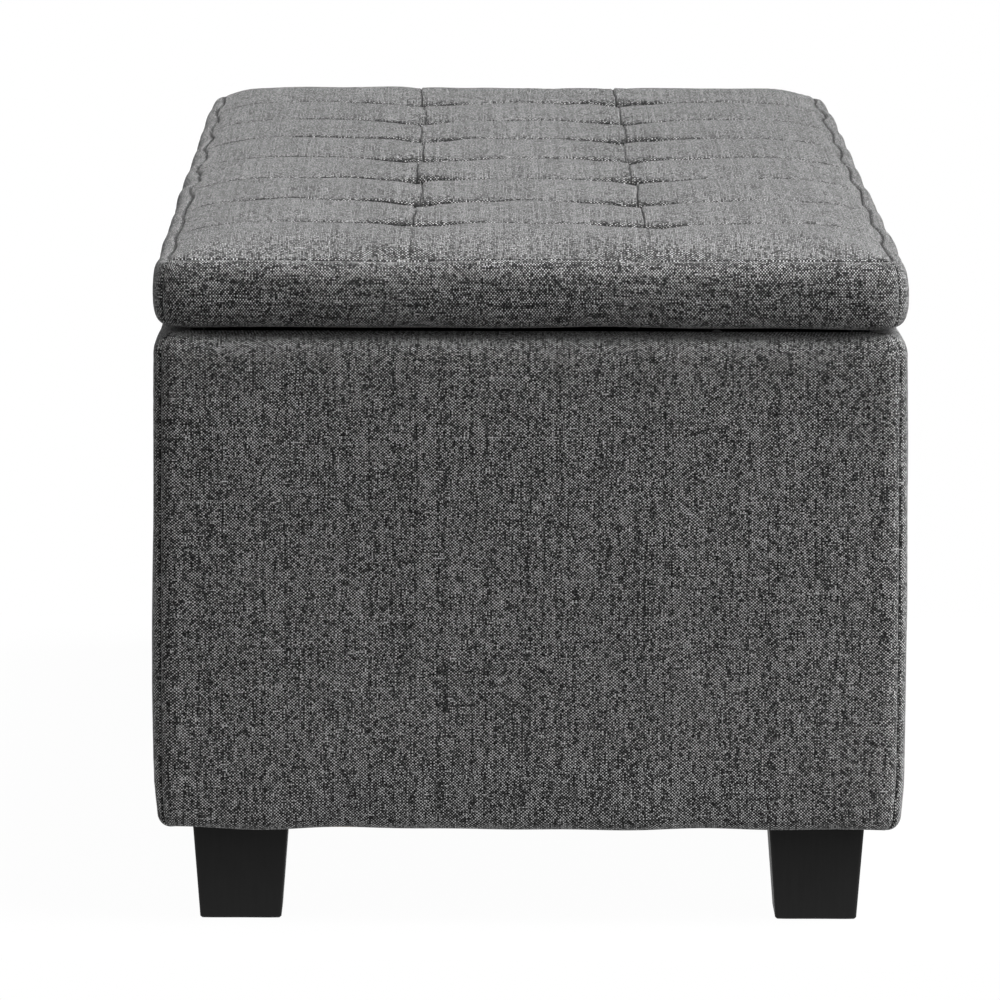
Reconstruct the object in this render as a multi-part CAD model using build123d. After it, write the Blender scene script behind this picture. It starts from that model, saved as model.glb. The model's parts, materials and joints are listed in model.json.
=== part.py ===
"""Upholstered storage bench with a hinged, biscuit-tufted lid. Millimetres.

Frame: +Z up, origin on the floor under the centre of the bench. X runs along the bench, +Y is the
back, where the hinges are, and -Y is the front, which lifts.
"""

import os
from math import atan2, degrees, hypot

from build123d import *

# ---- driving dimensions -------------------------------------------------------------------------
LENGTH = 1220.0
DEPTH = 460.0
LEG_HEIGHT = 60.0
BOX_HEIGHT = 306.0
JOINT_GAP = 3.0          # between the box's rim and the closed lid
LID_SIDE_HEIGHT = 41.0   # from the lid's underside to the seam round its top panel
CROWN = 15.0             # rise of the tufted top panel above that seam

FABRIC = 1.0
SIDE_FOAM = 6.0          # wrap over the box's boards
RIM_FOAM = 5.0           # the same wrap over the boards' top edges
LID_SIDE_FOAM = 11.0
BOARD = 15.0

BOX_CORNER_R = 15.0
BOX_RIM_R = 13.0
BOX_BOTTOM_R = FABRIC + SIDE_FOAM
LID_CORNER_R = 18.0
LID_BOTTOM_R = FABRIC + LID_SIDE_FOAM
LID_TOP_R = 10.0
CROWN_RUN = 38.0         # plan distance over which the crown rises

TUFT_ROWS = 8
TUFT_COLUMNS = 3

# ---- heights ------------------------------------------------------------------------------------
BOX_BOTTOM = LEG_HEIGHT
BOX_TOP = BOX_BOTTOM + BOX_HEIGHT
BOARD_BOTTOM = BOX_BOTTOM + FABRIC
BOARD_TOP = BOX_TOP - FABRIC - RIM_FOAM
FLOOR_TOP = BOARD_BOTTOM + BOARD
LID_BOTTOM = BOX_TOP + JOINT_GAP
LID_BOARD_BOTTOM = LID_BOTTOM + FABRIC
LID_BOARD_TOP = LID_BOARD_BOTTOM + BOARD
LID_SEAM = LID_BOTTOM + LID_SIDE_HEIGHT
LID_TOP = LID_SEAM + CROWN

# ---- half sizes in plan -------------------------------------------------------------------------
HALF_X = LENGTH / 2
HALF_Y = DEPTH / 2
SIDE_SKIN = FABRIC + SIDE_FOAM
BOARD_X, BOARD_Y = HALF_X - SIDE_SKIN, HALF_Y - SIDE_SKIN
BOARD_CORNER_R = BOX_CORNER_R - SIDE_SKIN
CAVITY_X, CAVITY_Y = BOARD_X - BOARD, BOARD_Y - BOARD
LINED_X, LINED_Y = CAVITY_X - FABRIC, CAVITY_Y - FABRIC
LID_SKIN = FABRIC + LID_SIDE_FOAM
LID_BOARD_X, LID_BOARD_Y = HALF_X - LID_SKIN, HALF_Y - LID_SKIN
TOP_PANEL_X, TOP_PANEL_Y = HALF_X - LID_TOP_R, HALF_Y - LID_TOP_R

# ---- frame pieces -------------------------------------------------------------------------------
POST = 20.0
POST_TOP = BOX_TOP - 30  # the cover turns in over the rim and ends here, on the posts and the lining
LID_TURN_IN = 35.0       # band fabric under the lid, up to the underside lining
LEG_TOP_WIDTH = 59.0
LEG_BOTTOM_WIDTH = 50.0
LEG_EDGE_R = 2.0
LEG_X, LEG_Y = 555.0, 177.5
BOLT_R = 4.0
BOLT_IN_LEG = 35.0

# ---- lid hinges ---------------------------------------------------------------------------------
HINGE_Y = 225.0
HINGE_Z = (BOX_TOP + LID_BOTTOM) / 2
HINGE_XS = (-420.0, 0.0, 420.0)
HINGE_LENGTH = 76.0
LEAF = 1.3
LEAF_FRONT_Y = 208.5
KNUCKLE_R = 2.8
KNUCKLES = 5
KNUCKLE_GAP = 0.4
LEAF_TO_KNUCKLE = 0.5    # radial clearance between a leaf's edge and the other leaf's knuckles
PIN_R = 1.3
RUNNING = 0.06           # radial clearance of a turning fit
HINGE_SCREW_Y = 214.5
HINGE_SCREW_PITCH = 26.0
HINGE_BOX_SCREW = 21.0   # through the cover and the foam into the back panel's top edge
HINGE_LID_SCREW = 14.0

# ---- lid stays: a parallelogram of two arms, with the lid and the box as its other two sides -----
BRACKET_PIVOT = 12.0     # from a bracket's mounting face to its pivot
STAY_FRAME_DROP = 110.0  # from the lid's hinge down to the pivot on the box
STAY_LID_REACH = 110.0   # from the lid's hinge forward to the pivot on the lid
BOX_PIVOT = (LINED_Y - BRACKET_PIVOT, HINGE_Z - STAY_FRAME_DROP)
LID_PIVOT = (HINGE_Y - STAY_LID_REACH, LID_BOTTOM - BRACKET_PIVOT)
ELBOW = (
    BOX_PIVOT[0] + LID_PIVOT[0] - HINGE_Y,
    BOX_PIVOT[1] + LID_PIVOT[1] - HINGE_Z,
)
STAY_X = 540.0           # inner face of the box bracket's flange
ARM = 2.0
ARM_R = 7.0
ARM_GAP = 0.3
ARMS_APART = 0.6
RIVET_R = 3.0
RIVET_HEAD_R = 5.5
RIVET_HEAD = 1.5
RIVET_PLAY = 0.15        # along the rivet, each side of a turning arm
PLATE = 2.0
PLATE_LENGTH = 40.0
PLATE_WIDTH = 30.0
PLATE_SCREW_REACH = 12.0
PLATE_SCREW = 14.0
LOWER_ARM_AT = PLATE + ARM_GAP
UPPER_ARM_AT = LOWER_ARM_AT + ARM + ARMS_APART
LID_FLANGE_AT = UPPER_ARM_AT + ARM + ARM_GAP

# ---- fasteners ----------------------------------------------------------------------------------
WOOD_SCREW = (2.0, 4.0)  # shank and head radius
SMALL_SCREW = (1.5, 2.9)
PANEL_SCREW = 32.0
NUT_FLANGE_R, NUT_FLANGE = 10.0, 1.5
NUT_BARREL_R, NUT_BARREL = 5.5, 10.0
BUMPER_R = 4.5
BUMPER_HEIGHT = JOINT_GAP - 0.3
BUMPER_XS = (-560.0, -190.0, 190.0, 560.0)
TWINE_R = 1.0

parts = {}


# ---- helpers ------------------------------------------------------------------------------------
def slab(half_x, half_y, radius, low, high):
    """Rounded-rectangle prism centred on the bench."""
    plan = RectangleRounded(2 * half_x, 2 * half_y, radius) if radius else Rectangle(2 * half_x, 2 * half_y)
    return Pos(0, 0, low) * extrude(plan, high - low)


def block(x0, x1, y0, y1, z0, z1):
    """Box between two corners."""
    return Pos((x0 + x1) / 2, (y0 + y1) / 2, (z0 + z1) / 2) * Box(x1 - x0, y1 - y0, z1 - z0)


def rod(centre, direction, length, radius):
    """Cylinder that starts at centre and runs length along direction."""
    return extrude(Plane(origin=centre, z_dir=direction) * Circle(radius), length)


def screw(head, direction, length, size):
    """Countersunk wood screw, its head's flat face at head, its point length along direction."""
    shank_r, head_r = size
    cone_depth = head_r - shank_r
    tip = shank_r * 1.2
    profile = Polyline(
        (0, 0), (head_r, 0), (shank_r, cone_depth), (shank_r, length - tip), (0, length), close=True
    )
    turned = revolve(Plane.XZ * make_face(profile), Axis.Z)
    return Plane(origin=head, z_dir=direction) * turned


def side_masks():
    """Four prisms that split a ring round the bench at the middle of its corners."""
    far = 200.0
    inner = HALF_X - HALF_Y
    low, high = 0.0, LID_TOP + far
    end = [(inner, 0), (HALF_X + far, HALF_Y + far), (HALF_X + far, -HALF_Y - far)]
    front = [(-inner, 0), (inner, 0), (HALF_X + far, -HALF_Y - far), (-HALF_X - far, -HALF_Y - far)]

    def prism(points):
        return Pos(0, 0, low) * extrude(make_face(Polyline(*points, close=True)), high - low)

    return {
        "front": prism(front),
        "back": prism([(x, -y) for x, y in front]),
        "left": prism([(-x, y) for x, y in end]),
        "right": prism(end),
    }


def corners():
    """(name, x sign, y sign) of the four corners."""
    return [
        (f"{'front' if sy < 0 else 'back'}_{'left' if sx < 0 else 'right'}", sx, sy)
        for sx in (-1, 1)
        for sy in (-1, 1)
    ]


def corner_blocks(size, low, high):
    """Square blocks in the cavity's four corners."""
    return [
        block(
            *sorted((sx * CAVITY_X, sx * (CAVITY_X - size))),
            *sorted((sy * CAVITY_Y, sy * (CAVITY_Y - size))),
            low,
            high,
        )
        for _, sx, sy in corners()
    ]


def edges_at(shape, z):
    """The edges of a shape that lie in the plane at height z."""
    return shape.edges().filter_by_position(Axis.Z, z, z)


# ---- fasteners' places --------------------------------------------------------------------------
def panel_screws():
    """Screws through the boards into the corner posts and into the bottom panel's edges."""
    found = []
    for _, sx, sy in corners():
        post_x, post_y = sx * (CAVITY_X - POST / 2), sy * (CAVITY_Y - POST / 2)
        for z in (115.0, 205.0, 295.0):
            found.append(screw((post_x, sy * BOARD_Y, z), (0, -sy, 0), PANEL_SCREW, WOOD_SCREW))
        for z in (145.0, 235.0, 320.0):
            found.append(screw((sx * BOARD_X, post_y, z), (-sx, 0, 0), PANEL_SCREW, WOOD_SCREW))
    z = BOARD_BOTTOM + BOARD / 2
    for sy in (-1, 1):
        for x in (-400.0, -200.0, 0.0, 200.0, 400.0):
            found.append(screw((x, sy * BOARD_Y, z), (0, -sy, 0), PANEL_SCREW, WOOD_SCREW))
    for sx in (-1, 1):
        for y in (-90.0, 90.0):
            found.append(screw((sx * BOARD_X, y, z), (-sx, 0, 0), PANEL_SCREW, WOOD_SCREW))
    return found


def hinge_screws(on_lid):
    """Three screws in each hinge leaf, upwards into the lid or downwards into the back panel."""
    head_z, direction = (LID_BOTTOM - LEAF, 1) if on_lid else (BOX_TOP + LEAF, -1)
    length = HINGE_LID_SCREW if on_lid else HINGE_BOX_SCREW
    return [
        screw((x + dx, HINGE_SCREW_Y, head_z), (0, 0, direction), length, SMALL_SCREW)
        for x in HINGE_XS
        for dx in (-HINGE_SCREW_PITCH, 0, HINGE_SCREW_PITCH)
    ]


def joined(shapes):
    """Separate solids as one compound."""
    return Compound(children=list(shapes))


def cut(shape, tools):
    """Shape without the tools, which may be many."""
    return shape - list(tools)


# ---- box frame ----------------------------------------------------------------------------------
def box_frame():
    """Boards, corner posts and bottom panel, with the screws that hold them."""
    screws = panel_screws()
    leaf_screws = hinge_screws(on_lid=False)
    bracket_screws = box_bracket_screws()
    outline = slab(BOARD_X, BOARD_Y, BOARD_CORNER_R, BOARD_BOTTOM, BOARD_TOP)
    front = outline & block(-HALF_X, HALF_X, -HALF_Y, -CAVITY_Y, 0, LID_TOP)
    back = mirror(front, Plane.XZ)
    end = block(CAVITY_X, BOARD_X, -CAVITY_Y, CAVITY_Y, BOARD_BOTTOM, BOARD_TOP)
    bottom = slab(CAVITY_X, CAVITY_Y, 0, BOARD_BOTTOM, FLOOR_TOP)
    parts["front_panel"] = cut(front, screws)
    parts["back_panel"] = cut(back, screws + leaf_screws + bracket_screws)
    parts["right_panel"] = cut(end, screws)
    parts["left_panel"] = cut(mirror(end, Plane.YZ), screws)
    for (name, _, _), post in zip(corners(), corner_blocks(POST, FLOOR_TOP, POST_TOP)):
        parts[f"corner_post_{name}"] = cut(post, screws)
    parts["bottom_panel"] = cut(bottom, screws + leg_hardware("bolt") + leg_hardware("nut"))
    parts["panel_screws"] = joined(screws)
    parts["hinge_box_screws"] = joined(leaf_screws)
    parts["stay_box_screws"] = joined(bracket_screws)


def box_body(inset):
    """The box's outer form, drawn in by inset all round."""
    form = slab(HALF_X - inset, HALF_Y - inset, BOX_CORNER_R - inset, BOX_BOTTOM + inset, BOX_TOP - inset)
    form = fillet(edges_at(form, BOX_TOP - inset), BOX_RIM_R - inset)
    return fillet(edges_at(form, BOX_BOTTOM + inset), BOX_BOTTOM_R - inset)


def box_upholstery():
    """Foam wrap, sewn cover, lining and dust cover."""
    cavity = slab(CAVITY_X, CAVITY_Y, 0, 0, LID_TOP)
    lined = slab(LINED_X, LINED_Y, 0, 0, LID_TOP)
    boards = slab(BOARD_X, BOARD_Y, BOARD_CORNER_R, BOARD_BOTTOM, BOARD_TOP)
    leaf_screws = hinge_screws(on_lid=False)
    bracket_screws = box_bracket_screws()

    padding = cut(box_body(FABRIC) - boards - cavity, leaf_screws)
    turn_in = slab(CAVITY_X, CAVITY_Y, 0, POST_TOP, BOX_TOP - FABRIC) - lined
    cover = cut((box_body(0) - box_body(FABRIC) - lined) + turn_in, leaf_screws)
    for side, mask in side_masks().items():
        parts[f"{side}_padding"] = padding & mask
        parts[f"{side}_cover"] = cover & mask

    outline = cut(slab(CAVITY_X, CAVITY_Y, 0, FLOOR_TOP, POST_TOP), corner_blocks(POST, 0, LID_TOP))
    inside = slab(LINED_X, LINED_Y, 0, FLOOR_TOP, POST_TOP)
    inside = cut(inside, corner_blocks(POST + FABRIC, 0, LID_TOP))
    parts["wall_lining"] = cut(outline - inside, bracket_screws)
    parts["floor_lining"] = inside & slab(CAVITY_X, CAVITY_Y, 0, FLOOR_TOP, FLOOR_TOP + FABRIC)
    parts["dust_cover"] = cut(slab(LINED_X, LINED_Y, 0, BOX_BOTTOM, BOARD_BOTTOM), leg_hardware("bolt"))


# ---- legs ---------------------------------------------------------------------------------------
def leg():
    """Tapered square block under the origin of its own top centre, with its bolt hole."""
    top = Pos(0, 0, LEG_HEIGHT) * RectangleRounded(LEG_TOP_WIDTH, LEG_TOP_WIDTH, LEG_EDGE_R)
    bottom = RectangleRounded(LEG_BOTTOM_WIDTH, LEG_BOTTOM_WIDTH, LEG_EDGE_R)
    form = loft([bottom, top], ruled=True)
    form = chamfer(edges_at(form, 0), 1.0)
    return form - rod((0, 0, LEG_HEIGHT - BOLT_IN_LEG), (0, 0, 1), BOLT_IN_LEG, BOLT_R)


def leg_hardware(which):
    """The hanger bolts, or the flanged nuts that take them from inside the bottom panel."""
    bolt_low = LEG_HEIGHT - BOLT_IN_LEG
    flange_low = FLOOR_TOP - NUT_FLANGE
    bolt = rod((0, 0, bolt_low), (0, 0, 1), flange_low - bolt_low, BOLT_R)
    nut = rod((0, 0, flange_low), (0, 0, 1), NUT_FLANGE, NUT_FLANGE_R)
    nut += rod((0, 0, flange_low - NUT_BARREL), (0, 0, 1), NUT_BARREL, NUT_BARREL_R)
    nut -= rod((0, 0, 0), (0, 0, 1), LID_TOP, BOLT_R)
    piece = bolt if which == "bolt" else nut
    return [Pos(sx * LEG_X, sy * LEG_Y, 0) * piece for _, sx, sy in corners()]


def legs():
    for name, sx, sy in corners():
        parts[f"leg_{name}"] = Pos(sx * LEG_X, sy * LEG_Y, 0) * leg()
    parts["leg_bolts"] = joined(leg_hardware("bolt"))
    parts["leg_nuts"] = joined(leg_hardware("nut"))


# ---- hinges -------------------------------------------------------------------------------------
def hinge_leaf(x, on_lid):
    """One leaf of a butt hinge: the lid's has the two inner knuckles of five, the box's the other three."""
    pitch = HINGE_LENGTH / KNUCKLES
    z0, z1 = (LID_BOTTOM - LEAF, LID_BOTTOM) if on_lid else (BOX_TOP, BOX_TOP + LEAF)
    x0 = x - HINGE_LENGTH / 2
    plate_end = HINGE_Y - KNUCKLE_R - LEAF_TO_KNUCKLE
    leaf = block(x0, x0 + HINGE_LENGTH, LEAF_FRONT_Y, plate_end, z0, z1)
    for i in range(KNUCKLES):
        if (i % 2 == 1) == on_lid:
            low = x0 + i * pitch + (KNUCKLE_GAP / 2 if i else 0)
            high = x0 + (i + 1) * pitch - (KNUCKLE_GAP / 2 if i < KNUCKLES - 1 else 0)
            leaf += block(low, high, plate_end, HINGE_Y, z0, z1)
            leaf += rod((low, HINGE_Y, HINGE_Z), (1, 0, 0), high - low, KNUCKLE_R)
    bore_r = PIN_R + (RUNNING if on_lid else 0)
    return leaf - rod((x0, HINGE_Y, HINGE_Z), (1, 0, 0), HINGE_LENGTH, bore_r)


def hinges():
    box_screws = hinge_screws(on_lid=False)
    lid_screws = hinge_screws(on_lid=True)
    for name, x in zip(("left", "centre", "right"), HINGE_XS):
        parts[f"hinge_{name}_box_leaf"] = cut(hinge_leaf(x, False), box_screws)
        parts[f"hinge_{name}_lid_leaf"] = cut(hinge_leaf(x, True), lid_screws)
    parts["hinge_pins"] = joined(
        rod((x - HINGE_LENGTH / 2, HINGE_Y, HINGE_Z), (1, 0, 0), HINGE_LENGTH, PIN_R) for x in HINGE_XS
    )
    parts["hinge_lid_screws"] = joined(lid_screws)


# ---- lid stays ----------------------------------------------------------------------------------
def layer(sx, offset):
    """X of a face in a stay, offset outwards from the box bracket's inner face."""
    return sx * (STAY_X + offset)


def arm(sx, at, start, end):
    """Flat bar with round ends between two pivots, each (y, z), and a hole at each."""
    middle = ((start[0] + end[0]) / 2, (start[1] + end[1]) / 2)
    length = hypot(end[0] - start[0], end[1] - start[1])
    angle = degrees(atan2(end[1] - start[1], end[0] - start[0]))
    plane = Plane(origin=(layer(sx, at), *middle), x_dir=(0, 1, 0), z_dir=(sx, 0, 0))
    outline = Rot(0, 0, angle * sx) * SlotCenterToCenter(length, 2 * ARM_R)
    return extrude(plane * outline, ARM)


def pivot_hole(sx, pivot, radius):
    """Cutter along X through every layer of a stay."""
    return rod((layer(sx, -10), *pivot), (sx, 0, 0), 40, radius)


def rivet(sx, pivot, low, high):
    """Rivet along X that holds the layers from low to high."""
    shank = rod((layer(sx, low), *pivot), (sx, 0, 0), high - low, RIVET_R)
    inner = rod((layer(sx, low - RIVET_HEAD), *pivot), (sx, 0, 0), RIVET_HEAD, RIVET_HEAD_R)
    outer = rod((layer(sx, high), *pivot), (sx, 0, 0), RIVET_HEAD, RIVET_HEAD_R)
    return inner + shank + outer


def box_bracket(sx):
    """Angle plate on the back wall, its flange square to X."""
    y_wall, (y, z) = LINED_Y, BOX_PIVOT
    xs = sorted((layer(sx, 0), layer(sx, -PLATE_WIDTH)))
    flange_xs = sorted((layer(sx, 0), layer(sx, PLATE)))
    plate = block(xs[0], xs[1], y_wall - PLATE, y_wall, z - PLATE_LENGTH / 2, z + PLATE_LENGTH / 2)
    flange = block(*flange_xs, y, y_wall, z - ARM_R, z + ARM_R)
    flange += rod((layer(sx, 0), y, z), (sx, 0, 0), PLATE, ARM_R)
    return plate + flange - pivot_hole(sx, BOX_PIVOT, RIVET_R)


def lid_bracket(sx):
    """The same angle plate under the lid."""
    z_lid, (y, z) = LID_BOTTOM, LID_PIVOT
    xs = sorted((layer(sx, LID_FLANGE_AT + PLATE), layer(sx, LID_FLANGE_AT + PLATE + PLATE_WIDTH)))
    flange_xs = sorted((layer(sx, LID_FLANGE_AT), layer(sx, LID_FLANGE_AT + PLATE)))
    plate = block(xs[0], xs[1], y - PLATE_LENGTH / 2, y + PLATE_LENGTH / 2, z_lid - PLATE, z_lid)
    flange = block(*flange_xs, y - ARM_R, y + ARM_R, z, z_lid)
    flange += rod((layer(sx, LID_FLANGE_AT), y, z), (sx, 0, 0), PLATE, ARM_R)
    return plate + flange - pivot_hole(sx, LID_PIVOT, RIVET_R)


def box_bracket_screws():
    return [
        screw(
            (layer(sx, -PLATE_WIDTH / 2), LINED_Y - PLATE, BOX_PIVOT[1] + dz),
            (0, 1, 0),
            PLATE_SCREW,
            SMALL_SCREW,
        )
        for sx in (-1, 1)
        for dz in (-PLATE_SCREW_REACH, PLATE_SCREW_REACH)
    ]


def lid_bracket_screws():
    at = LID_FLANGE_AT + PLATE + PLATE_WIDTH / 2
    return [
        screw((layer(sx, at), LID_PIVOT[0] + dy, LID_BOTTOM - PLATE), (0, 0, 1), PLATE_SCREW, SMALL_SCREW)
        for sx in (-1, 1)
        for dy in (-PLATE_SCREW_REACH, PLATE_SCREW_REACH)
    ]


def stays():
    for side, sx in (("left", -1), ("right", 1)):
        parts[f"stay_{side}_box_bracket"] = cut(box_bracket(sx), box_bracket_screws())
        parts[f"stay_{side}_lid_bracket"] = cut(lid_bracket(sx), lid_bracket_screws())
        parts[f"stay_{side}_lower_arm"] = (
            arm(sx, LOWER_ARM_AT, BOX_PIVOT, ELBOW)
            - pivot_hole(sx, BOX_PIVOT, RIVET_R + RUNNING)
            - pivot_hole(sx, ELBOW, RIVET_R)
        )
        parts[f"stay_{side}_upper_arm"] = (
            arm(sx, UPPER_ARM_AT, ELBOW, LID_PIVOT)
            - pivot_hole(sx, ELBOW, RIVET_R + ARM_GAP)
            - pivot_hole(sx, LID_PIVOT, RIVET_R + RUNNING)
        )
        parts[f"stay_{side}_elbow_rivet"] = rivet(sx, ELBOW, LOWER_ARM_AT, UPPER_ARM_AT + ARM + ARM_GAP)
    parts["stay_box_rivets"] = joined(
        rivet(sx, BOX_PIVOT, 0, LOWER_ARM_AT + ARM + RIVET_PLAY) for sx in (-1, 1)
    )
    parts["stay_lid_rivets"] = joined(
        rivet(sx, LID_PIVOT, UPPER_ARM_AT - RIVET_PLAY, LID_FLANGE_AT + PLATE) for sx in (-1, 1)
    )
    parts["stay_lid_screws"] = joined(lid_bracket_screws())


# ---- lid ----------------------------------------------------------------------------------------
def lid_body(inset):
    """The lid's outer form, drawn in by inset all round: rounded sides, and a crown over the seam."""
    low, seam, top = LID_BOTTOM + inset, LID_SEAM - inset, LID_TOP - inset
    form = slab(HALF_X - inset, HALF_Y - inset, LID_CORNER_R - inset, low, seam)
    form = fillet(edges_at(form, seam), LID_TOP_R - inset)
    form = fillet(edges_at(form, low), LID_BOTTOM_R - inset)
    corner = LID_CORNER_R - LID_TOP_R
    base = Pos(0, 0, seam) * RectangleRounded(2 * TOP_PANEL_X, 2 * TOP_PANEL_Y, corner)
    crown = Pos(0, 0, top) * RectangleRounded(
        2 * (TOP_PANEL_X - CROWN_RUN), 2 * (TOP_PANEL_Y - CROWN_RUN), corner
    )
    return form + loft([base, crown], ruled=True)


def tufting_twine():
    """One strand from the lid board up to the cover at each inner corner of the tufts."""
    pitch_x = 2 * TOP_PANEL_X / TUFT_ROWS
    pitch_y = 2 * TOP_PANEL_Y / TUFT_COLUMNS
    return [
        rod(
            (-TOP_PANEL_X + i * pitch_x, -TOP_PANEL_Y + j * pitch_y, LID_BOARD_BOTTOM),
            (0, 0, 1),
            LID_TOP - FABRIC - LID_BOARD_BOTTOM,
            TWINE_R,
        )
        for i in range(1, TUFT_ROWS)
        for j in range(1, TUFT_COLUMNS)
    ]


def lid():
    """Board, foam, tufted top, side bands and underside lining."""
    lid_screws = hinge_screws(on_lid=True) + lid_bracket_screws()
    twine = tufting_twine()
    board = slab(LID_BOARD_X, LID_BOARD_Y, LID_CORNER_R - LID_SKIN, LID_BOARD_BOTTOM, LID_BOARD_TOP)
    inside = slab(HALF_X - LID_TURN_IN, HALF_Y - LID_TURN_IN, 4, LID_BOTTOM, LID_BOARD_BOTTOM)
    core = lid_body(FABRIC)
    shell = lid_body(0) - core
    above = slab(LENGTH, LENGTH, 0, LID_SEAM, LID_TOP + 1)
    bands = cut(shell - above - inside, lid_screws)
    parts["lid_board"] = cut(board, lid_screws + twine)
    parts["lid_foam"] = cut(core - board, twine)
    parts["lid_top_cover"] = shell & above
    for side, mask in side_masks().items():
        parts[f"lid_{side}_band"] = bands & mask
    parts["lid_lining"] = cut(inside, lid_screws)
    parts["tufting_twine"] = joined(twine)


def bumpers():
    """Rubber pads on the front rim, which the closed lid rests on."""
    y = -(CAVITY_Y + BUMPER_R)
    parts["lid_bumpers"] = joined(
        rod((x, y, BOX_TOP), (0, 0, 1), BUMPER_HEIGHT, BUMPER_R) for x in BUMPER_XS
    )


box_frame()
box_upholstery()
legs()
hinges()
stays()
lid()
bumpers()

os.makedirs("parts", exist_ok=True)
for name, shape in parts.items():
    export_step(shape, f"parts/{name}.step")
print(f"{len(parts)} nodes; stay pivots on box {BOX_PIVOT}, on lid {LID_PIVOT}, elbow {ELBOW}")
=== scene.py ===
"""Looks of the storage bench: sewn covers, tufted lid, linings, finishes, floor, light, camera.

Metres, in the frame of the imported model: +X along the bench, +Y its hinge side, +Z up.
"""

import json
import math

import bpy
import numpy as np
from mathutils import Matrix, Vector


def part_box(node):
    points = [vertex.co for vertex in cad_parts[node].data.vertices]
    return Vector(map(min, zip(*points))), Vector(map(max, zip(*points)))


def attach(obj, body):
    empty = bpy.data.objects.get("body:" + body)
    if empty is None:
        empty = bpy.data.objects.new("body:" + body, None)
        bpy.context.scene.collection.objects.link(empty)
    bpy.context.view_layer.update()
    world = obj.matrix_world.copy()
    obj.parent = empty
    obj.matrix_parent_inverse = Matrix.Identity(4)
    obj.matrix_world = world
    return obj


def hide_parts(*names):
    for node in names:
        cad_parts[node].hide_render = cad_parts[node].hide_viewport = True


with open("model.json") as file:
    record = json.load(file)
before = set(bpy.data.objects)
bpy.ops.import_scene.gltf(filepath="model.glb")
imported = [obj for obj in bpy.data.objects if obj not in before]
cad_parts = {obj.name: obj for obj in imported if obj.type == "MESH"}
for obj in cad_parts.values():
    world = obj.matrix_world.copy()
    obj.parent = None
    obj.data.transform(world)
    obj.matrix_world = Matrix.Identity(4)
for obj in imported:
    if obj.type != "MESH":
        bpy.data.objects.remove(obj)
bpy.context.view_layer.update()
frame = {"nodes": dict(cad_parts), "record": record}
MM = 0.001

# ---- places read from the frame ------------------------------------------------------------------
HALF_X, HALF_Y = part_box("lid_foam")[1].x + MM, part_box("lid_foam")[1].y + MM
BOX_LOW, BOX_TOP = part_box("front_cover")[0].z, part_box("front_cover")[1].z
LID_LOW, SEAM_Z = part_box("lid_front_band")[0].z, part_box("lid_front_band")[1].z
TOP_X, TOP_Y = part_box("lid_top_cover")[1].x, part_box("lid_top_cover")[1].y
LINED_X, LINED_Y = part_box("floor_lining")[1].x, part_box("floor_lining")[1].y
FLOOR_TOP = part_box("floor_lining")[1].z
LINING_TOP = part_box("wall_lining")[1].z
LID_LINING_X, LID_LINING_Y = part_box("lid_lining")[1].x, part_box("lid_lining")[1].y

# ---- upholstery sizes ----------------------------------------------------------------------------
BOX_CORNER_R = 15 * MM
BOX_RIM_R = 13 * MM
BOX_HEM_R = 7.5 * MM
# how far the fabric sags at the rim between the corners, below the lid
RIM_DROP = {"front": 0.3 * MM, "right": 2.5 * MM, "back": 0.0, "left": 2.5 * MM}
RIM_DROP_RUN = 45 * MM   # along the rim from a corner to its full drop
LID_CORNER_R = 18 * MM
LID_HEM_R = 12 * MM
TOP_CORNER_R = 8 * MM
STEP = 5 * MM            # of the grids that the fabric is made of
SEAM_ALLOWANCE = 5 * MM  # depth of fabric turned in at a sewn corner
BORDER_TUCK = 1.7 * MM   # depth of the border seam
BORDER_TUCK_WIDTH = 1.0 * MM
# widths of the shade painted along the border seam and in the sewn corners
BORDER_SHADE_WIDTH = 0.8 * MM
CORNER_SHADE_WIDTH = 0.6 * MM

ROWS, COLUMNS = 8, 3
CROWN = 9.8 * MM        # rise of the strips' seams inside the border seam
CROWN_RUN = 20 * MM
DIP = 5.6 * MM          # how far the twine pulls an inner corner of the tufts down
DIP_RUN = 34 * MM
START_PUFF = 1.5 * MM   # and before the pressure acts
PULL_RUN = 21 * MM      # how far along a strip's seam a pulled-down corner reaches
FRONT, LOW_FRONT = 7.2, 0.4      # mm, added height of a strip's front at a corner, and elsewhere
FRONT_RUN, PULLED_RUN = 1.4, 5.6  # mm, run of the low front, and what the corner adds to it
FRONT_FADE = 55 * MM    # how slowly a strip falls behind its front
SHORT_SEAMS = (-71 * MM, 70.5 * MM)
CELL_X, CELL_Y = 30, 29  # steps of the cloth's grid across one tuft
PRESSURE = 2.0
LOOSENESS = 0.0006
SIM_FRAMES = 24
MOST_MOVE = 12 * MM
# The short seams don't meet from row to row; rows run from the +X end.
JOGS = (
    (-2.0, -1.0, 2.5, -1.0, 2.0, -0.5, 2.0, -1.5),
    (2.5, 1.5, 1.0, -1.0, -2.0, 0.5, -0.5, -2.0),
)

SIDES = {
    # the direction along a side seen from outside, left to right, and its outward direction
    "front": ((1, 0), (0, -1)),
    "right": ((0, 1), (1, 0)),
    "back": ((-1, 0), (0, 1)),
    "left": ((0, -1), (-1, 0)),
}


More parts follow.
